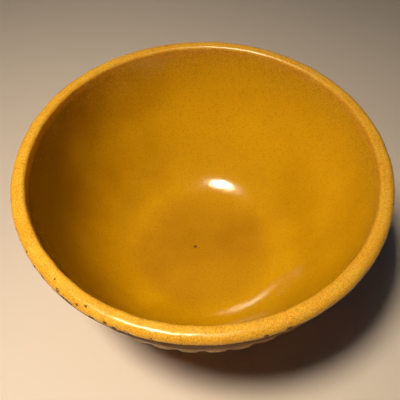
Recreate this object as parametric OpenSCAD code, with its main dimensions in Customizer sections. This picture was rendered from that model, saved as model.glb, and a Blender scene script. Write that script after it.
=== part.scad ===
// Mixing bowl of glazed yellow stoneware: one fired clay casting with its glass coats.
// Millimetres, +Z up, bottom of the foot ring on z = 0, axis of the bowl on Z.

/* [Bowl] */
// outer diameter over the rolled lip
rim_d = 280; // [220:1:340]
// overall height from the foot to the top of the lip
bowl_h = 136; // [115:1:155]
// outer diameter of the foot ring
foot_d = 146; // [120:1:170]
// thickness of the glazed wall
wall_t = 7.4; // [5:0.1:10]
// height of the inside floor above the table
floor_h = 14; // [11:0.5:18]

/* [Rolled lip] */
// radius of the outer bead of the lip
bead_r = 6; // [4.5:0.1:8]
// how far the bead stands out over the wall
overhang = 4.8; // [3:0.1:6]
// radius of the inner edge of the lip
edge_r = 3; // [2:0.1:4]
// slope of the wall just under the lip, in degrees from the table
wall_slope = 82.2; // [79:0.1:86]
// radius of the wall's curve in section
wall_r = 184; // [160:1:220]
// radius of the curve between wall and floor
floor_round = 60; // [40:1:70]

/* [Moulded lobes] */
// number of lobes around the bowl
lobes = 42; // [24:1:60]
// how far the lobes stand out from the wall
lobe_rise = 1.4; // [0.8:0.1:2.5]
// width of that gap, as an angle around the bowl, in degrees
gap_a = 1.7; // [1:0.1:3]
// place of the lobes' upper ends along the wall's curve, in degrees
lobe_top = 70; // [62:0.5:75]
// place of the lobes' lower ends along the wall's curve, in degrees
lobe_end = 48; // [44:0.5:56]

/* [Foot and glaze] */
// depth of the recess inside the foot ring
recess = 5; // [3:0.1:7]
// radial thickness of the foot ring
foot_t = 12; // [8:0.5:16]
// thickness of the fired glaze
glaze_t = 0.45; // [0.3:0.05:0.8]
// height of the dry, unglazed edge of the foot
dry_h = 3; // [2:0.1:5]

/* [Hidden] */
$fn = 120;
rim_r = rim_d / 2;
foot_r = foot_d / 2;
// where the wall meets the underside of the lip
under_z = bowl_h - 2 * bead_r;
under_r = rim_r - overhang;
// centre of the wall's curve, in section
cx = under_r - wall_r * sin(wall_slope);
cz = under_z + wall_r * cos(wall_slope);
in_r = wall_r - wall_t;
// the floor's curve touches both the wall's inner curve and the flat floor
k_a = acos((cz - floor_h - floor_round) / (in_r - floor_round));
kx = cx + (in_r - floor_round) * sin(k_a);
kz = floor_h + floor_round;
// inner edge of the lip, touching the inner curve and the top
ez = bowl_h - edge_r;
ex = cx + sqrt(pow(in_r + edge_r, 2) - pow(cz - ez, 2));
bead_x = rim_r - bead_r;
bead_z = bowl_h - bead_r;
recess_r = foot_r - foot_t;
// where the side of the foot meets the wall, on the glaze and on the clay
foot_z = cz - sqrt(pow(wall_r, 2) - pow(foot_r - cx, 2));
clay_z = cz - sqrt(pow(wall_r - glaze_t, 2) - pow(foot_r - glaze_t - cx, 2));

// the air inside the bowl, in section; g is how much glaze is taken off
module cavity2d(g) {
  intersection() {
    translate([cx, cz]) circle(r = in_r + g);
    polygon([[0, cz + cx * cos(k_a) / sin(k_a)], [kx, kz],
      [cx + 260 * sin(k_a), cz - 260 * cos(k_a)], [300, cz + 40], [0, cz + 40]]);
  }
  intersection() {
    translate([kx, kz]) circle(r = floor_round + g);
    square([300, 300]);
  }
  polygon([[0, floor_h - g], [kx, floor_h - g], [kx, kz],
    [0, cz + cx * cos(k_a) / sin(k_a)]]);
}

// the bowl's own section without lobes, foot ring or recess
module wall2d(g) {
  difference() {
    union() {
      intersection() {
        translate([cx, cz]) circle(r = wall_r - g);
        polygon([[0, 2], [200, 2], [200, under_z - 1], [bead_x, under_z + 3], [bead_x, bead_z], [0, bead_z]]);
      }
      translate([bead_x, bead_z]) circle(r = bead_r - g);
      translate([ex, ez]) circle(r = edge_r - g);
      polygon([[120, under_z], [bead_x, under_z + g], [bead_x, bowl_h - g], [ex, bowl_h - g],
        [ex, ez], [120, ez + (ex - 120) * (cz - ez) / (ex - cx)]]);
    }
    cavity2d(g);
  }
}

// section of one lobe; root is the radius its foot reaches down to, inside the wall
module lobe2d(g, root) {
  e = g / wall_r * 57.3;
  intersection() {
    difference() {
      translate([cx, cz]) circle(r = wall_r + lobe_rise - g);
      translate([cx, cz]) circle(r = root);
    }
    polygon([[cx, cz], [cx + 400 * sin(lobe_end + e), cz - 400 * cos(lobe_end + e)],
      [cx + 400 * sin(lobe_top - e), cz - 400 * cos(lobe_top - e)]]);
  }
}

// the ring of lobes
module lobe_ring(g, root) {
  a = 360 / lobes - gap_a - 2 * g / 1.9;
  for (i = [0 : lobes - 1]) rotate([0, 0, i * 360 / lobes - a / 2]) rotate_extrude(angle = a) lobe2d(g, root);
}

// the fired clay: wall, floor, rolled lip, lobes and foot ring
module clay_body() color([0.87, 0.76, 0.56]) {
  difference() {
    union() {
      rotate_extrude() wall2d(glaze_t);
      rotate_extrude() polygon([[recess_r - 3, 0], [foot_r - glaze_t - 1, 0], [foot_r - glaze_t, 1],
        [foot_r - glaze_t, clay_z], [recess_r - 3, clay_z]]);
      lobe_ring(glaze_t, wall_r - 3);
    }
    translate([0, 0, -1]) cylinder(r = recess_r, h = recess + glaze_t + 1);
  }
}

// glass coat over the whole inside and round the rolled lip to the crevice under it
module inside_glaze() color([0.72, 0.47, 0.06]) {
  rotate_extrude() difference() {
    intersection() {
      wall2d(0);
      union() {
        translate([0, under_z]) square([200, 60]);
        intersection() {
          translate([cx, cz]) circle(r = in_r + wall_t / 2);
          translate([0, floor_h - 3]) square([200, under_z]);
        }
      }
    }
    wall2d(glaze_t);
  }
}

// glass coat on the outer wall and lobes, down to the dry edge of the foot
module outside_glaze() color([0.93, 0.66, 0.2]) {
  difference() {
    union() {
      rotate_extrude() intersection() {
        difference() {
          translate([cx, cz]) circle(r = wall_r);
          translate([cx, cz]) circle(r = wall_r - glaze_t);
        }
        polygon([[foot_r - glaze_t, clay_z], [foot_r, foot_z], [200, foot_z], [200, under_z],
          [60, under_z], [60, clay_z]]);
      }
      lobe_ring(0, wall_r - glaze_t / 2);
      rotate_extrude() polygon([[foot_r - glaze_t, dry_h], [foot_r, dry_h], [foot_r, foot_z],
        [foot_r - glaze_t, clay_z]]);
    }
    lobe_ring(glaze_t, wall_r - 3);
  }
}

// glass coat on the ceiling of the recess inside the foot ring
module base_glaze() color([0.82, 0.6, 0.28]) {
  translate([0, 0, recess]) cylinder(r = recess_r, h = glaze_t);
}

clay_body();
inside_glaze();
outside_glaze();
base_glaze();
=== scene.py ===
import bpy
import math
import numpy as np
from mathutils import Matrix, Vector


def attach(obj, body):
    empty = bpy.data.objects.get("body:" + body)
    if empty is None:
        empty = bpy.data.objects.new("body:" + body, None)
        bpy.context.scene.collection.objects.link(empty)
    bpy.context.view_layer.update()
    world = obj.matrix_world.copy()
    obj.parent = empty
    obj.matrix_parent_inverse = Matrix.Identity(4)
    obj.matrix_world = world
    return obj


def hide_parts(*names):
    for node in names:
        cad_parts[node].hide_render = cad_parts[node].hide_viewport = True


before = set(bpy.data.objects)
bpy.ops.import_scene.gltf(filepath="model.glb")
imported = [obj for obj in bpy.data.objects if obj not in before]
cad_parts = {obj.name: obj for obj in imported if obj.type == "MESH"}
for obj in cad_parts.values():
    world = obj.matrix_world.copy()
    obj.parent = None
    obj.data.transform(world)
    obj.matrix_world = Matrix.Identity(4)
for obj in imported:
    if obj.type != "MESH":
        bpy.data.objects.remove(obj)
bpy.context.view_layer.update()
MM = 0.001
TAU = 2 * math.pi

# ---------------------------------------------------------------- sizes, as in the CAD (mm)
RIM_R, BOWL_H, FOOT_R = 140.0, 136.0, 73.0
WALL_T, FLOOR_H = 7.4, 14.0
BEAD_R, OVERHANG, EDGE_R = 6.0, 4.8, 3.0
WALL_R, FLOOR_ROUND = 184.0, 60.0
GLAZE, RECESS, FOOT_T, DRY_H = 0.45, 5.0, 12.0, 3.0
LOBES, LOBE_RISE, GAP_A, LOBE_TOP, LOBE_END = 42, 1.4, 1.7, 70.0, 48.0
SL = math.radians(82.2)
UNDER_Z, UNDER_R = BOWL_H - 2 * BEAD_R, RIM_R - OVERHANG
CX, CZ = UNDER_R - WALL_R * math.sin(SL), UNDER_Z + WALL_R * math.cos(SL)
IN_R = WALL_R - WALL_T
KA = math.acos((CZ - FLOOR_H - FLOOR_ROUND) / (IN_R - FLOOR_ROUND))
KX, KZ = CX + (IN_R - FLOOR_ROUND) * math.sin(KA), FLOOR_H + FLOOR_ROUND
EZ = BOWL_H - EDGE_R
EX = CX + math.sqrt((IN_R + EDGE_R) ** 2 - (CZ - EZ) ** 2)
BEAD_X, BEAD_Z = RIM_R - BEAD_R, BOWL_H - BEAD_R
RECESS_R = FOOT_R - FOOT_T
FOOT_Z = CZ - math.sqrt(WALL_R ** 2 - (FOOT_R - CX) ** 2)


def arc(cx, cz, r, a0, a1, n):
    """Points round (cx, cz); angles in degrees from straight down, turning outwards."""
    a = np.radians(np.linspace(a0, a1, n))
    return [(cx + r * math.sin(t), cz - r * math.cos(t)) for t in a]


def resample(pts, step):
    """Evenly spaced points along a polyline. step is a length, or a function of the place."""
    p = np.array(pts, float)
    keep = np.concatenate([[True], np.linalg.norm(np.diff(p, axis=0), axis=1) > 1e-6])
    p = p[keep]
    s = np.concatenate([[0], np.cumsum(np.linalg.norm(np.diff(p, axis=0), axis=1))])
    if callable(step):
        at, out = 0.0, [0.0]
        while at < s[-1]:
            q = (np.interp(at, s, p[:, 0]), np.interp(at, s, p[:, 1]))
            at += step(*q)
            out.append(min(at, s[-1]))
        t = np.array(out)
    else:
        t = np.linspace(0, s[-1], max(2, int(round(s[-1] / step)) + 1))
    if len(t) > 2 and t[-1] - t[-2] < 1e-6:
        t = t[:-1]
    return np.stack([np.interp(t, s, p[:, 0]), np.interp(t, s, p[:, 1])], 1)


def normals2d(p, closed=False):
    """Unit normals to the left of the path's direction."""
    if closed:
        d = np.roll(p, -1, 0) - np.roll(p, 1, 0)
    else:
        d = np.gradient(p, axis=0)
    n = np.stack([-d[:, 1], d[:, 0]], 1)
    return n / np.maximum(np.linalg.norm(n, axis=1), 1e-9)[:, None]


# ---------------------------------------------------------------- smooth random fields (seeded)
def field(seed, theta, s, waves, lo, hi, smin, smax):
    """Sum of seeded waves that close round the bowl: theta in radians, s in mm along the section."""
    rng = np.random.default_rng(seed)
    out = np.zeros(np.broadcast(theta, s).shape)
    for _ in range(waves):
        k = int(rng.integers(lo, hi + 1))
        w = TAU / rng.uniform(smin, smax)
        out += math.sqrt(2.0 / waves) * np.sin(k * theta + rng.choice([-1, 1]) * w * s + rng.uniform(0, TAU))
    return out


# ---------------------------------------------------------------- revolve
def revolve(name, prof, nrm, n, disp=None, closed=False, poles=(False, False), attrs=None, warp=True):
    """Closed or open surface of revolution from section points (mm), moved by disp(theta, K) mm along the section normal."""
    k = len(prof)
    th = np.linspace(0, TAU, n, endpoint=False)[None, :]
    d = np.zeros((k, n)) if disp is None else disp
    r = prof[:, 0:1] + nrm[:, 0:1] * d
    z = prof[:, 1:2] + nrm[:, 1:2] * d
    if warp:
        r, z = shape_warp(th, r, z)
    x, y = r * np.cos(th), r * np.sin(th)
    z = np.broadcast_to(z, x.shape)
    verts = np.stack([x, y, z], -1).reshape(-1, 3)
    j = np.arange(n)
    jn = (j + 1) % n
    faces = []
    rows = range(k) if closed else range(k - 1)
    for i in rows:
        a, b = i * n, ((i + 1) % k) * n
        faces.append(np.stack([a + j, a + jn, b + jn, b + j], 1))
    faces = np.concatenate(faces)
    tris = []
    extra = []
    for end, on in zip((0, k - 1), poles):
        if not on:
            continue
        c = len(verts) + len(extra)
        extra.append([0, 0, float(z[end].mean())])
        ring = end * n
        if end == 0:
            tris.append(np.stack([np.full(n, c), ring + jn, ring + j], 1))
        else:
            tris.append(np.stack([np.full(n, c), ring + j, ring + jn], 1))
    if extra:
        verts = np.concatenate([verts, np.array(extra)])
    me = bpy.data.meshes.new(name)
    nv, nq = len(verts), len(faces)
    nt = sum(len(t) for t in tris)
    loops = np.concatenate([faces.ravel()] + [t.ravel() for t in tris])
    start = np.concatenate([np.arange(nq) * 4] + ([nq * 4 + np.arange(nt) * 3] if nt else []))
    me.vertices.add(nv)
    me.vertices.foreach_set("co", (verts * MM).ravel())
    me.loops.add(len(loops))
    me.loops.foreach_set("vertex_index", loops.astype(np.int32))
    me.polygons.add(nq + nt)
    me.polygons.foreach_set("loop_start", start.astype(np.int32))
    me.update(calc_edges=True)
    me.validate()
    for key, val in (attrs or {}).items():
        v = np.broadcast_to(val, (k, n)).reshape(-1)
        v = np.concatenate([v, [v[0 if i == 0 else -1] for i in range(len(extra))]]) if extra else v
        at = me.attributes.new(key, "FLOAT", "POINT")
        at.data.foreach_set("value", v.astype(np.float32))
    me.shade_smooth()
    o = bpy.data.objects.new(name, me)
    bpy.context.scene.collection.objects.link(o)
    return o


def shape_warp(th, r, z):
    """The slight unevenness of a hand-finished bowl: a little oval, the rim a little wavy."""
    up = np.clip(z / BOWL_H, 0, 1) ** 2
    r = r * (1 + up * (0.0016 * np.cos(2 * th + 0.7) + 0.0009 * np.cos(3 * th - 1.1) + 0.0005 * np.cos(7 * th + 2.0)))
    z = z + up * (0.35 * np.cos(2 * th - 0.9) + 0.2 * np.cos(5 * th + 0.4)) - 0.3 * up
    return r, z


# ---------------------------------------------------------------- section lines of the glazed surface
inside_line = (
    [(0.9, FLOOR_H)]
    + [(x, FLOOR_H) for x in np.linspace(2, KX - 1, 20)]
    + arc(KX, KZ, FLOOR_ROUND, 0, math.degrees(KA), 60)
    + arc(CX, CZ, IN_R, math.degrees(KA), math.degrees(math.atan2(EX - CX, CZ - EZ)), 90)[1:]
)


def soften(pts, width):
    """The same line with its changes of curvature eased over width mm; both ends stay put."""
    p = resample(pts, 1.0)
    n = int(width)
    k = np.exp(-0.5 * (np.arange(-3 * n, 3 * n + 1) / n) ** 2)
    k /= k.sum()
    mirror = np.concatenate([(2 * p[0] - p[1:3 * n + 1])[::-1], p, (2 * p[-1] - p[-3 * n - 1:-1])[::-1]])
    mirror[:3 * n, 1] = p[1:3 * n + 1, 1][::-1]
    q = np.stack([np.convolve(mirror[:, i], k, "valid") for i in (0, 1)], 1)
    w = np.clip((len(p) - 1 - np.arange(len(p))) / (3.0 * n), 0, 1)[:, None]
    q = p + (q - p) * w
    q[:, 0] = np.maximum.accumulate(np.maximum(q[:, 0], 0.9))
    return [tuple(v) for v in q]


inside_line = soften(inside_line, 9)
_t = math.degrees(math.atan2(EX - CX, CZ - EZ))
# round the lip: inner edge, flat top, bead, and in to the crevice under it
lip_line = (
    arc(EX, EZ, EDGE_R, _t - 180, -180, 16)
    + [(x, BOWL_H) for x in np.linspace(EX + 0.2, BEAD_X - 0.2, 4)]
    + arc(BEAD_X, BEAD_Z, BEAD_R, 180, 12, 44)
)
outside_line = arc(CX, CZ, WALL_R, math.degrees(SL), math.degrees(math.asin((FOOT_R - CX) / WALL_R)), 120)
foot_line = [(FOOT_R, FOOT_Z - 0.4), (FOOT_R, DRY_H)]

# chips and worn spots along the lip: azimuth (degrees, 0 = +X, turning to +Y), place round the
# bead (degrees from straight down, 90 = outermost, 180 = top), size along and across (mm), depth (mm)
CHIPS = []


def chip(az, place, a, b, depth):
    t = math.radians(place)
    CHIPS.append((math.radians(az), BEAD_X + BEAD_R * math.sin(t), BEAD_Z - BEAD_R * math.cos(t), a, b, depth))


def chip_field(th, rr, zz, seed=3):
    """1 in the middle of a chip, 0 at its edge, negative outside; and the depth there (mm)."""
    best = np.full(np.broadcast(th, rr).shape, -3.0)
    deep = np.zeros_like(best)
    rng = np.random.default_rng(seed)
    for az, cr, cz, a, b, depth in CHIPS:
        dt = (th - az + math.pi) % TAU - math.pi
        u = dt * cr / a
        v = np.hypot(rr - cr, zz - cz) / b
        ph = rng.uniform(0, TAU, 3)
        ang = np.arctan2(v, u)
        edge = 1 + 0.22 * np.sin(3 * ang + ph[0]) + 0.13 * np.sin(5 * ang + ph[1]) + 0.08 * np.sin(9 * ang + ph[2])
        f = 1 - np.sqrt(u * u + v * v) / edge
        best = np.maximum(best, f)
        deep = np.maximum(deep, depth * np.clip(f * 2.2, 0, 1))
    return best, deep


for c in [
    (177.0, 112, 1.6, 1.6, 0.45), (208.0, 96, 1.4, 1.3, 0.4), (213.0, 120, 1.0, 1.0, 0.3), (222.0, 92, 2.2, 1.6, 0.55),
    (228.5, 118, 1.8, 1.3, 0.45), (233.0, 96, 2.6, 1.8, 0.6), (235.5, 128, 1.1, 0.9, 0.3), (240.5, 92, 1.9, 1.6, 0.5),
    (244.5, 112, 1.3, 1.1, 0.4), (250.0, 88, 3.2, 1.8, 0.6), (257.0, 105, 0.9, 0.9, 0.3), (286.0, 104, 1.4, 1.1, 0.35),
    (293.0, 100, 5.0, 0.9, 0.3), (331.0, 120, 1.0, 0.8, 0.25), (344.0, 125, 0.9, 0.7, 0.25), (350.0, 108, 1.2, 1.0, 0.3),
    (7.0, 130, 0.9, 0.8, 0.25), (118.0, 150, 1.3, 1.0, 0.35), (103.0, 165, 2.4, 0.4, 0.2), (64.0, 140, 0.9, 0.8, 0.25),
    (204.0, 104, 1.6, 1.0, 0.4), (218.0, 100, 1.7, 1.2, 0.45), (230.5, 100, 2.0, 1.1, 0.45), (247.0, 98, 2.4, 1.2, 0.5),
    (238.0, 150, 1.0, 0.8, 0.25), (226.0, 162, 0.8, 0.7, 0.2), (101.6, 140, 0.35, 4.2, 0.15), (101.9, 184, 0.3, 3.2, 0.12),
    (20.0, 95, 1.6, 1.2, 0.4), (48.0, 92, 1.2, 1.0, 0.35), (140.0, 94, 1.9, 1.3, 0.45), (160.0, 100, 1.2, 1.0, 0.3),
]:
    chip(*c)

# ---------------------------------------------------------------- the inside, with the lip on it
full = resample(inside_line + lip_line,
                lambda r, z: 0.55 if (r > 126 and z > 118) else (1.6 if r > 6 else 1.0))
nrm = normals2d(full)
# the air is to the left of the path inside, and stays to the left round the lip
N_IN = 1008
th = np.linspace(0, TAU, N_IN, endpoint=False)[None, :]
seg = np.concatenate([[0], np.cumsum(np.linalg.norm(np.diff(full, axis=0), axis=1))])[:, None]
R0, Z0 = full[:, 0:1], full[:, 1:2]
lipness = np.clip((Z0 - 126.0) / 6.0, 0, 1) * (R0 > 120)
wall_w = np.clip((R0 - 12) / 30, 0, 1)
d = 0.035 * field(11, th, seg, 14, 0, 5, 70, 160) * wall_w                 # uneven wall
d = d + 0.006 * field(12, th, seg, 18, 3, 22, 20, 60) * wall_w            # run of the glaze
d = d + 0.010 * np.sin(seg * TAU / 13.0 + 0.4 * np.sin(th * 2)) * np.clip((R0 - 20) / 40, 0, 1) * (1 - lipness)  # turning rings
d = d + lipness * (0.10 * field(13, th, seg, 16, 5, 40, 12, 60) + 0.03 * field(14, th, seg, 20, 40, 130, 4, 12))
cf, cd = chip_field(th, R0, Z0)
cd = cd * (R0 > 128)
d = d - cd
dim = np.exp(-(((R0 * np.cos(th) + 6.5) / 1.7) ** 2 + ((R0 * np.sin(th) - 1.5) / 1.4) ** 2))  # small pit in the floor
d = d - 0.35 * dim
inside_attrs = {
    "chip": np.where(R0 > 126, cf, -3.0),
    "lip": np.broadcast_to(lipness, (len(full), N_IN)),
    "run": np.broadcast_to(seg, (len(full), N_IN)),
    "pit": dim,
    # under: where the painted shade under the lip's bead goes
    "under": np.broadcast_to(np.clip((130.9 - Z0) / 1.6, 0, 1) * (R0 > 134.5), (len(full), N_IN)),
}
inner_back = resample([tuple(p) for p in (full - nrm * GLAZE)[::-1]], 5.0)
nb = len(inner_back)
loop = np.concatenate([full, inner_back])
loop_n = np.concatenate([nrm, np.zeros((nb, 2))])
loop_d = np.concatenate([d, np.zeros((nb, N_IN))])
attrs = {k: np.concatenate([np.broadcast_to(v, (len(full), N_IN)), np.full((nb, N_IN), -3.0 if k == "chip" else 0.0)]) for k, v in inside_attrs.items()}
inside = revolve("inside_coat", loop, loop_n, N_IN, loop_d, poles=(True, True), attrs=attrs)

# ---------------------------------------------------------------- the outside coat, with its lobes
out_main = resample(outside_line + foot_line, 1.1)
on = normals2d(out_main)       # going down the outside the air is to the left
N_OUT = 1008
tho = np.linspace(0, TAU, N_OUT, endpoint=False)[None, :]
so = np.concatenate([[0], np.cumsum(np.linalg.norm(np.diff(out_main, axis=0), axis=1))])[:, None]
ang_s = np.degrees(np.arctan2(out_main[:, 0:1] - CX, CZ - out_main[:, 1:2]))


def lobes(theta, a, rr):
    """Height of the moulded lobes (mm): rounded bars with arched upper ends and rounded lower ends."""
    u = ((theta * LOBES / TAU + 0.5) % 1.0) - 0.5          # -0.5..0.5 across one lobe
    half = 0.5 - GAP_A * LOBES / 720.0
    x = u / half
    arch = LOBE_TOP + 0.35 - 2.0 * (1 - np.sqrt(np.clip(1 - (x * 0.98) ** 2, 0, 1)))
    low = LOBE_END - 0.3 + 1.2 * (1 - np.sqrt(np.clip(1 - (x * 0.98) ** 2, 0, 1)))
    side = np.clip(1 - np.abs(x), 0, 1)
    body = np.sqrt(np.clip(1 - (1 - np.clip(side / 0.85, 0, 1)) ** 2, 0, 1))
    top = np.clip((arch - a) / 2.0, 0, 1)
    bot = np.clip((a - low) / 2.0, 0, 1)
    sm = lambda t: np.sqrt(np.clip(1 - (1 - t) ** 2, 0, 1))
    return 0.8 * LOBE_RISE * body * sm(top) * sm(bot)


lob = lobes(tho, ang_s, out_main[:, 0:1])
do = lob + 0.05 * field(21, tho, so, 14, 0, 5, 60, 160) + 0.012 * field(22, tho, so, 18, 6, 50, 10, 40)
do = do * np.clip((out_main[:, 1:2] - 4) / 6, 0, 1)
back_o = resample([tuple(p) for p in (out_main - on * GLAZE)[::-1]], 5.0)
nbo = len(back_o)
# the back of the coat follows the wall behind, so the piece stays a closed thin skin
loop_o = np.concatenate([out_main, back_o])
loop_on = np.concatenate([on, np.zeros((nbo, 2))])
loop_od = np.concatenate([do, np.zeros((nbo, N_OUT))])
outside = revolve("outside_coat", loop_o, loop_on, N_OUT, loop_od, closed=True,
                  attrs={"lobe": np.concatenate([np.broadcast_to(lob, (len(out_main), N_OUT)), np.zeros((nbo, N_OUT))])})

# ---------------------------------------------------------------- the clay: only its foot shows
clay_sec = (
    [(RECESS_R - 0.3, RECESS + GLAZE), (RECESS_R, RECESS + GLAZE - 0.3), (RECESS_R, 1.6), (RECESS_R + 0.5, 0.5), (RECESS_R + 1.4, 0.0),
     (RECESS_R + 6, 0.0), (FOOT_R - 2.0, 0.0), (FOOT_R - 0.9, 0.4), (FOOT_R - 0.5, 1.3), (FOOT_R - 0.46, DRY_H), (FOOT_R - 0.5, FOOT_Z)]
    + [(CX + (WALL_R - 0.5) * math.sin(t), CZ - (WALL_R - 0.5) * math.cos(t)) for t in np.radians(np.linspace(41.5, 81.9, 60))]
    + [(BEAD_X + (BEAD_R - 0.5) * math.sin(t), BEAD_Z - (BEAD_R - 0.5) * math.cos(t)) for t in np.radians(np.linspace(14, 179, 24))]
    + [(EX, BOWL_H - 0.5)]
    + [(EX + (EDGE_R - 0.5) * math.sin(t), EZ - (EDGE_R - 0.5) * math.cos(t)) for t in np.radians(np.linspace(-180, _t - 180, 8))[1:]]
    + [(p[0], p[1]) for p in (np.array(inside_line[::-1]) + normals2d(np.array(inside_line[::-1])) * 0.5)[6:-2]]
    + [(1.0, FLOOR_H - 0.5)]
)
clay_prof = resample([(1.0, RECESS + GLAZE)] + clay_sec, 1.5)
cn = normals2d(clay_prof)
thc = np.linspace(0, TAU, 504, endpoint=False)[None, :]
sc_ = np.concatenate([[0], np.cumsum(np.linalg.norm(np.diff(clay_prof, axis=0), axis=1))])[:, None]
low = (clay_prof[:, 1:2] < DRY_H) & (clay_prof[:, 0:1] > RECESS_R - 1)
dc = -np.abs(0.10 * field(31, thc, sc_, 24, 20, 160, 2.5, 9)) * low * (clay_prof[:, 1:2] > 0.3)
clay = revolve("clay_casting", clay_prof, cn, 504, dc, poles=(True, True))

# ---------------------------------------------------------------- glaze in the recess under the foot
base_prof = resample([(1.0, RECESS + GLAZE), (RECESS_R - 2.5, RECESS + GLAZE), (RECESS_R - 0.1, RECESS + GLAZE), (RECESS_R - 0.1, RECESS - 1.6),
                      (RECESS_R - 0.5, RECESS - 1.5), (RECESS_R - 1.0, RECESS - 0.4), (RECESS_R - 2.2, RECESS + 0.0), (1.0, RECESS)], 1.2)
bn = normals2d(base_prof)
thb = np.linspace(0, TAU, 504, endpoint=False)[None, :]
sb = np.concatenate([[0], np.cumsum(np.linalg.norm(np.diff(base_prof, axis=0), axis=1))])[:, None]
face = (base_prof[:, 1:2] < RECESS + 0.05)
db = (0.06 * field(41, thb, sb, 16, 2, 12, 20, 60)) * face
base = revolve("base_coat", base_prof, bn, 504, db, poles=(True, True), warp=False)


# ---------------------------------------------------------------- materials
def srgb(r, g, b):
    f = lambda c: (c / 255.0 / 12.92) if c / 255.0 <= 0.04045 else ((c / 255.0 + 0.055) / 1.055) ** 2.4
    return (f(r), f(g), f(b), 1.0)


class Nodes:
    def __init__(self, name):
        self.mat = bpy.data.materials.new(name)
        self.mat.use_nodes = True
        self.nt = self.mat.node_tree
        self.nt.nodes.clear()
        self.out = self.nt.nodes.new("ShaderNodeOutputMaterial")
        self.bsdf = self.nt.nodes.new("ShaderNodeBsdfPrincipled")
        self.nt.links.new(self.bsdf.outputs[0], self.out.inputs["Surface"])
        self.coord = self.nt.nodes.new("ShaderNodeTexCoord").outputs["Object"]

    def link(self, a, b):
        self.nt.links.new(a, b)

    def put(self, node, socket, value):
        if value is None:
            return
        if isinstance(value, bpy.types.NodeSocket):
            self.link(value, node.inputs[socket])
        else:
            node.inputs[socket].default_value = value

    def math(self, op, a, b=None, c=None, clamp=False):
        n = self.nt.nodes.new("ShaderNodeMath")
        n.operation, n.use_clamp = op, clamp
        for i, v in enumerate((a, b, c)):
            self.put(n, i, v)
        return n.outputs[0]

    def noise(self, scale, detail=3.0, rough=0.5, distort=0.0, vec=None):
        n = self.nt.nodes.new("ShaderNodeTexNoise")
        self.link(vec or self.coord, n.inputs["Vector"])
        n.inputs["Scale"].default_value = scale
        n.inputs["Detail"].default_value = detail
        n.inputs["Roughness"].default_value = rough
        n.inputs["Distortion"].default_value = distort
        return n.outputs["Fac"]

    def voronoi(self, scale, feature="F1", vec=None, rand=1.0, out="Distance"):
        n = self.nt.nodes.new("ShaderNodeTexVoronoi")
        n.feature = feature
        self.link(vec or self.coord, n.inputs["Vector"])
        n.inputs["Scale"].default_value = scale
        n.inputs["Randomness"].default_value = rand
        return n.outputs[out]

    def ramp(self, value, a, b, lo=0.0, hi=1.0, smooth=True):
        n = self.nt.nodes.new("ShaderNodeMapRange")
        n.interpolation_type = "SMOOTHSTEP" if smooth else "LINEAR"
        self.put(n, "Value", value)
        n.inputs["From Min"].default_value, n.inputs["From Max"].default_value = a, b
        n.inputs["To Min"].default_value, n.inputs["To Max"].default_value = lo, hi
        return n.outputs["Result"]

    def mix(self, fac, a, b, mode="MIX"):
        n = self.nt.nodes.new("ShaderNodeMix")
        n.data_type, n.blend_type = "RGBA", mode
        self.put(n, 0, fac)
        self.put(n, 6, a)
        self.put(n, 7, b)
        return n.outputs[2]

    def attr(self, name):
        n = self.nt.nodes.new("ShaderNodeAttribute")
        n.attribute_name = name
        return n.outputs["Fac"]

    def axis(self, which):
        n = self.nt.nodes.new("ShaderNodeSeparateXYZ")
        self.link(self.coord, n.inputs[0])
        return n.outputs[which]

    def bump(self, height, distance, strength=1.0, normal=None):
        n = self.nt.nodes.new("ShaderNodeBump")
        self.link(height, n.inputs["Height"])
        n.inputs["Distance"].default_value = distance
        n.inputs["Strength"].default_value = strength
        if normal is not None:
            self.link(normal, n.inputs["Normal"])
        return n.outputs["Normal"]

    def warped(self, scale, amount):
        """Object coordinates pushed about by noise, so that cells aren't regular."""
        n = self.nt.nodes.new("ShaderNodeTexNoise")
        self.link(self.coord, n.inputs["Vector"])
        n.inputs["Scale"].default_value = scale
        n.inputs["Detail"].default_value = 2.0
        v = self.nt.nodes.new("ShaderNodeVectorMath")
        v.operation = "MULTIPLY_ADD"
        self.link(n.outputs["Color"], v.inputs[0])
        v.inputs[1].default_value = (amount,) * 3
        self.link(self.coord, v.inputs[2])
        return v.outputs[0]


DEEP = srgb(190, 134, 2)
MID = srgb(206, 150, 5)
LIGHT = srgb(252, 190, 56)
BROWN = srgb(120, 66, 14)
STAIN = srgb(82, 46, 18)
CLAY = srgb(222, 196, 150)


def crazing(g, scale, width, warp_scale=300.0, warp=0.0012):
    v = g.voronoi(scale, "DISTANCE_TO_EDGE", vec=g.warped(warp_scale, warp))
    return g.ramp(v, width * 0.35, width, 1.0, 0.0)


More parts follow.
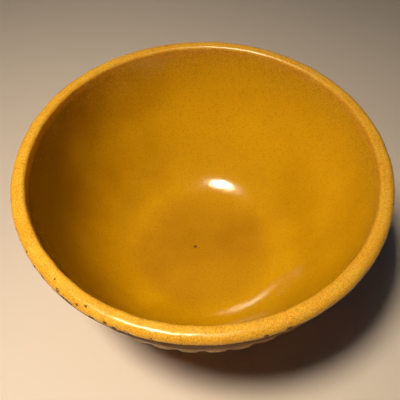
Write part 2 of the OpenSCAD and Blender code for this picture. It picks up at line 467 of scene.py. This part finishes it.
def glaze_inside():
    g = Nodes("amber_glaze_inside")
    lip, chipf, pit, under = g.attr("lip"), g.attr("chip"), g.attr("pit"), g.attr("under")
    z = g.axis(2)
    big = g.noise(16.0, 2.0, 0.5)
    mid = g.noise(60.0, 3.0, 0.55)
    fine = g.noise(700.0, 3.0, 0.6)
    spots = g.noise(1500.0, 2.0, 0.6)
    # painted light: the upper wall lighter towards the rim; the same mask also carries the mottled wear and crazing
    # there
    upper = g.ramp(g.math("ADD", z, g.math("MULTIPLY", g.math("SUBTRACT", mid, 0.5), 0.03)), 0.098, 0.128)
    base = g.mix(g.ramp(big, 0.35, 0.68), DEEP, MID)
    base = g.mix(g.math("MULTIPLY", g.ramp(mid, 0.4, 0.75), 0.35), base, MID)
    # painted light: lighter glaze towards the rim
    base = g.mix(g.math("MULTIPLY", upper, 0.40), base, srgb(242, 176, 30))
    # painted light and shade: the wall lighter on the right and back, which face the lamp, and darker on the left and
    # front, which lie in shade
    side = g.math("ADD", g.math("MULTIPLY", g.axis(0), 0.65), g.math("MULTIPLY", g.axis(1), 0.76))
    side = g.math("ADD", side, g.math("MULTIPLY", g.math("SUBTRACT", big, 0.5), 0.08))
    wall = g.ramp(z, 0.018, 0.085)
    # painted light on the lit side of the wall
    base = g.mix(g.math("MULTIPLY", g.math("MULTIPLY", g.ramp(side, -0.02, 0.12), wall), 0.62), base, srgb(250, 186, 22))
    # painted shade on the shaded side of the wall
    base = g.mix(g.math("MULTIPLY", g.math("MULTIPLY", g.ramp(side, 0.045, -0.075), wall), 0.84), base, srgb(120, 74, 0))
    # lighter worn spots, painted stronger on the lit side and fainter on the shaded side
    worn = g.math("MULTIPLY", g.ramp(g.noise(380.0, 4.0, 0.65), 0.50, 0.64), upper)
    base = g.mix(g.math("MULTIPLY", worn, g.ramp(side, -0.06, 0.05, 0.08, 0.42)), base, srgb(252, 196, 60))
    floor_w = g.ramp(z, 0.0135, 0.020, 1.0, 0.0)
    base = g.mix(g.math("MULTIPLY", floor_w, 0.30), base, BROWN)
    base = g.mix(lip, base, g.mix(g.ramp(mid, 0.3, 0.7), LIGHT, srgb(248, 176, 40)))
    base = g.mix(g.math("MULTIPLY", g.math("MULTIPLY", g.ramp(g.noise(1100.0, 3.0, 0.65), 0.46, 0.60), lip), 0.34), base, srgb(226, 138, 18))
    # fine speckle of iron
    sp = g.math("MULTIPLY", g.ramp(fine, 0.52, 0.68), 0.30)
    base = g.mix(sp, base, BROWN)
    sp2 = g.math("MULTIPLY", g.ramp(spots, 0.64, 0.72), g.ramp(lip, 0.0, 1.0, 0.40, 0.65))
    base = g.mix(sp2, base, BROWN)
    # crazing: a wide net and a finer one inside it
    c1 = crazing(g, 480.0, 0.11)
    c2 = crazing(g, 900.0, 0.15, 900.0, 0.0005)
    seen = g.math("ADD", g.math("MULTIPLY", upper, 0.22), g.math("ADD", g.math("MULTIPLY", lip, 0.02), 0.06))
    base = g.mix(g.math("MULTIPLY", c1, seen), base, BROWN)
    base = g.mix(g.math("MULTIPLY", c2, g.math("MULTIPLY", seen, 0.5)), base, BROWN)
    # a few larger dark specks
    cells = g.voronoi(45.0, "F1", rand=1.0)
    dark = g.ramp(cells, 0.016, 0.030, 1.0, 0.0)
    base = g.mix(g.math("MULTIPLY", dark, 0.55), base, STAIN)
    base = g.mix(g.ramp(pit, 0.15, 0.60, 0.0, 0.82), base, STAIN)
    # chips show stained clay with a dark rim
    edge = g.math("ADD", chipf, g.math("MULTIPLY", g.math("SUBTRACT", g.noise(900.0, 3.0, 0.6), 0.5), 0.5))
    inside_chip = g.ramp(edge, 0.0, 0.16)
    halo = g.ramp(edge, -0.35, 0.05)
    base = g.mix(g.math("MULTIPLY", halo, 0.55), base, BROWN)
    base = g.mix(inside_chip, base, g.mix(g.noise(1200.0, 2.0, 0.5), STAIN, BROWN))
    # painted shade: a dark line where the lip turns under, in the bead's shadow
    line = g.ramp(g.math("ADD", under, g.math("MULTIPLY", g.math("SUBTRACT", g.noise(420.0, 3.0, 0.6), 0.5), 1.1)), 0.25, 0.60)
    base = g.mix(g.math("MULTIPLY", line, 0.88), base, srgb(74, 42, 12))
    g.link(base, g.bsdf.inputs["Base Color"])
    rough = g.math("ADD", g.ramp(mid, 0.3, 0.8, 0.12, 0.17), g.math("MULTIPLY", upper, 0.08))
    rough = g.math("ADD", rough, g.math("MULTIPLY", lip, 0.08))
    rough = g.math("ADD", rough, g.math("MULTIPLY", line, 0.7), clamp=True)
    rough = g.math("ADD", rough, g.math("MULTIPLY", inside_chip, 0.5))
    g.link(rough, g.bsdf.inputs["Roughness"])
    g.bsdf.inputs["IOR"].default_value = 1.52
    h = g.math("ADD", g.math("MULTIPLY", g.noise(240.0, 2.0, 0.5), 0.6), g.math("MULTIPLY", g.noise(60.0, 2.0, 0.5), 1.6))
    g.link(g.bump(h, 0.00010, 1.0), g.bsdf.inputs["Normal"])
    return g.mat


def glaze_outside():
    g = Nodes("amber_glaze_outside")
    lob = g.attr("lobe")
    big = g.noise(16.0, 2.0, 0.5)
    mid = g.noise(60.0, 3.0, 0.55)
    base = g.mix(g.ramp(big, 0.35, 0.68), DEEP, MID)
    # paler on the crowns of the lobes, darker between them and away from them
    base = g.mix(g.math("MULTIPLY", g.ramp(lob, 0.90, 1.12), 0.10), base, srgb(236, 190, 96))
    # painted shade: deep olive brown on the outer wall under the overhanging lip, where it lies in shadow; also made
    # duller
    under_lip_painted_shade = g.ramp(g.math("ADD", g.axis(2), g.math("MULTIPLY", g.math("SUBTRACT", mid, 0.5), 0.006)), 0.084, 0.106)
    base = g.mix(g.math("MULTIPLY", under_lip_painted_shade, 0.80), base, srgb(88, 60, 8))
    base = g.mix(g.math("MULTIPLY", g.ramp(lob, 0.4, 0.02), 0.30), base, BROWN)
    base = g.mix(g.math("MULTIPLY", g.ramp(g.noise(700.0, 3.0, 0.6), 0.54, 0.72), 0.25), base, BROWN)
    base = g.mix(g.math("MULTIPLY", crazing(g, 170.0, 0.045), 0.3), base, BROWN)
    cells = g.voronoi(45.0, "F1")
    base = g.mix(g.math("MULTIPLY", g.ramp(cells, 0.016, 0.03, 1.0, 0.0), 0.5), base, STAIN)
    g.link(base, g.bsdf.inputs["Base Color"])
    g.link(g.math("ADD", g.ramp(mid, 0.3, 0.8, 0.18, 0.28), g.math("MULTIPLY", under_lip_painted_shade, 0.45), clamp=True), g.bsdf.inputs["Roughness"])
    g.bsdf.inputs["Specular IOR Level"].default_value = 0.12
    g.bsdf.inputs["IOR"].default_value = 1.52
    g.link(g.bump(g.noise(200.0, 2.0, 0.5), 0.00015, 1.0), g.bsdf.inputs["Normal"])
    return g.mat


def bare_clay():
    g = Nodes("fired_clay")
    mid = g.noise(90.0, 4.0, 0.6)
    grain = g.noise(1400.0, 3.0, 0.6)
    base = g.mix(g.ramp(mid, 0.3, 0.7), CLAY, srgb(196, 164, 116))
    base = g.mix(g.math("MULTIPLY", g.ramp(grain, 0.5, 0.75), 0.5), base, srgb(150, 112, 70))
    base = g.mix(g.math("MULTIPLY", g.ramp(g.noise(260.0, 4.0, 0.6), 0.58, 0.7), 0.5), base, srgb(110, 80, 52))
    g.link(base, g.bsdf.inputs["Base Color"])
    g.bsdf.inputs["Roughness"].default_value = 0.85
    g.link(g.bump(g.math("ADD", grain, mid), 0.0003, 1.0), g.bsdf.inputs["Normal"])
    return g.mat


def plain(name, color, rough):
    g = Nodes(name)
    soft = g.noise(1.4, 3.0, 0.5)
    g.link(g.mix(g.ramp(soft, 0.3, 0.7), color, tuple(c * 0.93 for c in color[:3]) + (1.0,)), g.bsdf.inputs["Base Color"])
    g.bsdf.inputs["Roughness"].default_value = rough
    return g.mat


inside.data.materials.append(glaze_inside())
m_out = glaze_outside()
outside.data.materials.append(m_out)
base.data.materials.append(m_out)
m_clay = bare_clay()
clay.data.materials.append(m_clay)
for node, mat in (("clay_body", m_clay), ("inside_glaze", inside.data.materials[0]), ("outside_glaze", m_out), ("base_glaze", m_out)):
    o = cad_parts[node]
    o.data.materials.clear()
    o.data.materials.append(mat)

for piece, node, slot in ((inside, "inside_glaze", "amber_glaze"), (outside, "outside_glaze", "amber_glaze"),
                          (base, "base_glaze", "amber_glaze"), (clay, "clay_body", "fired_clay")):
    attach(piece, "root")
    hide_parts(node)

# ---------------------------------------------------------------- table, light and camera
bpy.ops.mesh.primitive_plane_add(size=6.0, location=(0, 0, 0))
table = bpy.context.object
table.name = "table"
table.data.materials.append(plain("table_top", srgb(213, 194, 171), 0.6))

world = bpy.data.worlds.new("room")
bpy.context.scene.world = world
world.use_nodes = True
bg = world.node_tree.nodes["Background"]
bg.inputs[0].default_value = (0.48, 0.66, 1.0, 1.0)
bg.inputs[1].default_value = 0.040


def light(name, az, el, dist, size, power, color=(1, 1, 1), size_y=None, aim=None, spread=180):
    """An area light seen from the bowl at azimuth az (0 = away from the camera, 90 = right) and elevation el."""
    a, e = math.radians(az), math.radians(el)
    v = Vector((math.sin(a) * math.cos(e), math.cos(a) * math.cos(e), math.sin(e)))
    data = bpy.data.lights.new(name, "AREA")
    data.shape = "RECTANGLE" if size_y else "DISK"
    data.size = size
    if size_y:
        data.size_y = size_y
    data.energy = power
    data.color = color
    o = bpy.data.objects.new(name, data)
    bpy.context.scene.collection.objects.link(o)
    data.spread = math.radians(spread)
    o.location = v * dist + Vector((0, 0, 0.07))
    o.rotation_mode = "QUATERNION"
    o.rotation_quaternion = (o.location - Vector(aim or (0, 0, 0.07))).to_track_quat("Z", "Y")
    return o


# the lamp that lights and shades, the smaller one that only glints, and a weak broad one that only fills
key = light("key", -122, 69.7, 1.6, 0.36, 3.5, (1.0, 0.93, 0.84), aim=(-0.14, -0.19, 0.0), spread=56)
key.visible_glossy = False
glint = light("glint", -137, 73, 1.6, 0.27, 34.0, (1.0, 0.87, 0.60))
glint.visible_diffuse = False
window = light("window", -60, 30, 2.2, 0.9, 0.25, (0.92, 0.96, 1.0))
window.visible_glossy = False

cam_data = bpy.data.cameras.new("camera")
cam = bpy.data.objects.new("camera", cam_data)
bpy.context.scene.collection.objects.link(cam)
TH, DIST, F_PX = math.radians(50.41), 3.1 * 0.140, 583.0
YAW, PIT, ROLL = math.radians(-0.371), math.radians(3.34), math.radians(-0.534)
pos = Vector((0, -DIST * math.cos(TH), DIST * math.sin(TH))) + Vector((0, 0, BEAD_Z * MM))
thp = TH + PIT
fwd = Vector((math.sin(YAW) * math.cos(thp), math.cos(YAW) * math.cos(thp), -math.sin(thp)))
right = fwd.cross(Vector((0, 0, 1))).normalized()
up = right.cross(fwd)
r2 = right * math.cos(ROLL) + up * math.sin(ROLL)
u2 = up * math.cos(ROLL) - right * math.sin(ROLL)
cam.matrix_world = Matrix(((r2.x, u2.x, -fwd.x, pos.x), (r2.y, u2.y, -fwd.y, pos.y), (r2.z, u2.z, -fwd.z, pos.z), (0, 0, 0, 1)))
cam_data.sensor_width = 36.0
cam_data.lens = F_PX / 400.0 * 36.0
cam_data.clip_start, cam_data.clip_end = 0.01, 20.0
bpy.context.scene.camera = cam
bpy.context.scene.view_settings.view_transform = "Standard"
